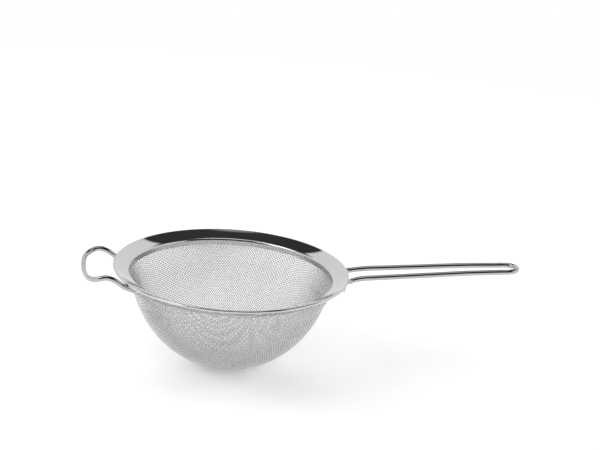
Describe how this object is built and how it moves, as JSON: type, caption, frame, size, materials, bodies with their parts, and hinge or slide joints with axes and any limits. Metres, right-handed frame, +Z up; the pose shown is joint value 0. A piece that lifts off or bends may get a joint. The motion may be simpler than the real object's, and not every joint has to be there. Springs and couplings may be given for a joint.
{
  "type": "tea strainer",
  "caption": "Round strainer: a deep bowl of fine woven steel wire in a wide sloping rim, with a long hairpin wire handle and a hooked wire rest loop opposite it.",
  "frame": {"origin": "lowest point of the bowl, at the middle of the small flattened spot that it stands on", "axes": "+Z up through the middle of the rim, +X towards the handle, +Y to the side; symmetric about the XZ plane"},
  "size_m": [0.3807, 0.2, 0.0925],
  "materials": {
    "rim": "polished stainless steel sheet",
    "clamp_ring": "plain pressed stainless steel",
    "mesh_bowl": "fine woven stainless wire",
    "handle": "polished round wire",
    "rest_loop": "polished round wire"
  },
  "bodies": {
    "root": {"rim": "rim", "clamp_ring": "clamp_ring", "mesh_bowl": "mesh_bowl", "handle": "handle", "rest_loop": "rest_loop"}
  },
  "joints": []
}
